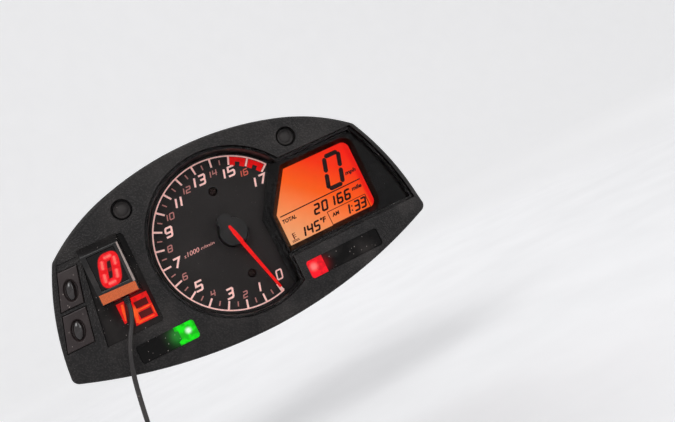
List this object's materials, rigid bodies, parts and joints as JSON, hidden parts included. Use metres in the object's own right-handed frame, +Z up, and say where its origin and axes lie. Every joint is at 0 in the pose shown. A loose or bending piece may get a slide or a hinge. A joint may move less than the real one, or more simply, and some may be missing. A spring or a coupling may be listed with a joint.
{
  "type": "motorcycle instrument cluster",
  "caption": "Moulded instrument cluster of a sport motorcycle with a round tachometer, a lit display, warning lamps, buttons and a gear indicator on its face.",
  "frame": {"origin": "middle between the two lower mounting lugs, in the plane where their rubber bushes meet the bracket", "axes": "+Y to the back, along the mounting bolts; +Z up; +X to the rider's right. The dial faces -Y"},
  "size_m": [0.2472, 0.072, 0.2124],
  "materials": {
    "case": "grained black",
    "rear": "moulded black",
    "lens": "clear hard-coated plastic",
    "inner": "satin black",
    "display_frame": "gloss black",
    "display": "lit liquid crystal panel, orange",
    "dial": "satin grey print",
    "steel": "zinc plated",
    "movement": "moulded",
    "needle": "lit red",
    "cap": "satin black",
    "smoked": "smoked",
    "green_lamp": "lit green",
    "red_lamp": "lit red",
    "amber_lamp": "lit amber",
    "button": "satin",
    "plug": "matt",
    "gasket": "matt",
    "bush": "matt",
    "insert": "turned",
    "socket": "natural moulded",
    "pin": "tinned",
    "gear": "gloss black",
    "pad": "foam",
    "window": "smoked red",
    "lead": "soft black sheath"
  },
  "bodies": {
    "cluster": {"front_case": "case", "lens": "lens", "inner_frame": "inner", "display_frame": "display_frame", "display_panel": "display", "dial": "dial", "dial_screws": "steel", "movement": "movement", "left_lamp_strip": "smoked", "neutral_lamp": "green_lamp", "right_lamp_strip": "smoked", "oil_lamp": "red_lamp", "warning_panel": "smoked", "warning_lamp": "amber_lamp", "upper_button": "button", "lower_button": "button", "face_plugs": "plug", "case_gasket": "gasket", "rear_case": "rear", "lug_bushes": "bush", "lug_inserts": "insert", "case_screws": "steel", "wiring_socket": "socket", "socket_pins": "pin", "breather": "bush", "gear_pad": "pad", "gear_case": "gear", "gear_window": "window", "lead_relief": "gear", "indicator_lead": "lead", "lead_plug": "socket"},
    "pointer": {"needle": "needle", "needle_cap": "cap", "needle_shaft": "steel"}
  },
  "joints": [
    {"name": "tachometer", "type": "hinge", "parent": "cluster", "child": "pointer", "pos_m": [0, -0.038, 0.028], "axis": [0, 1, 0], "range_deg": [0, 246]}
  ]
}
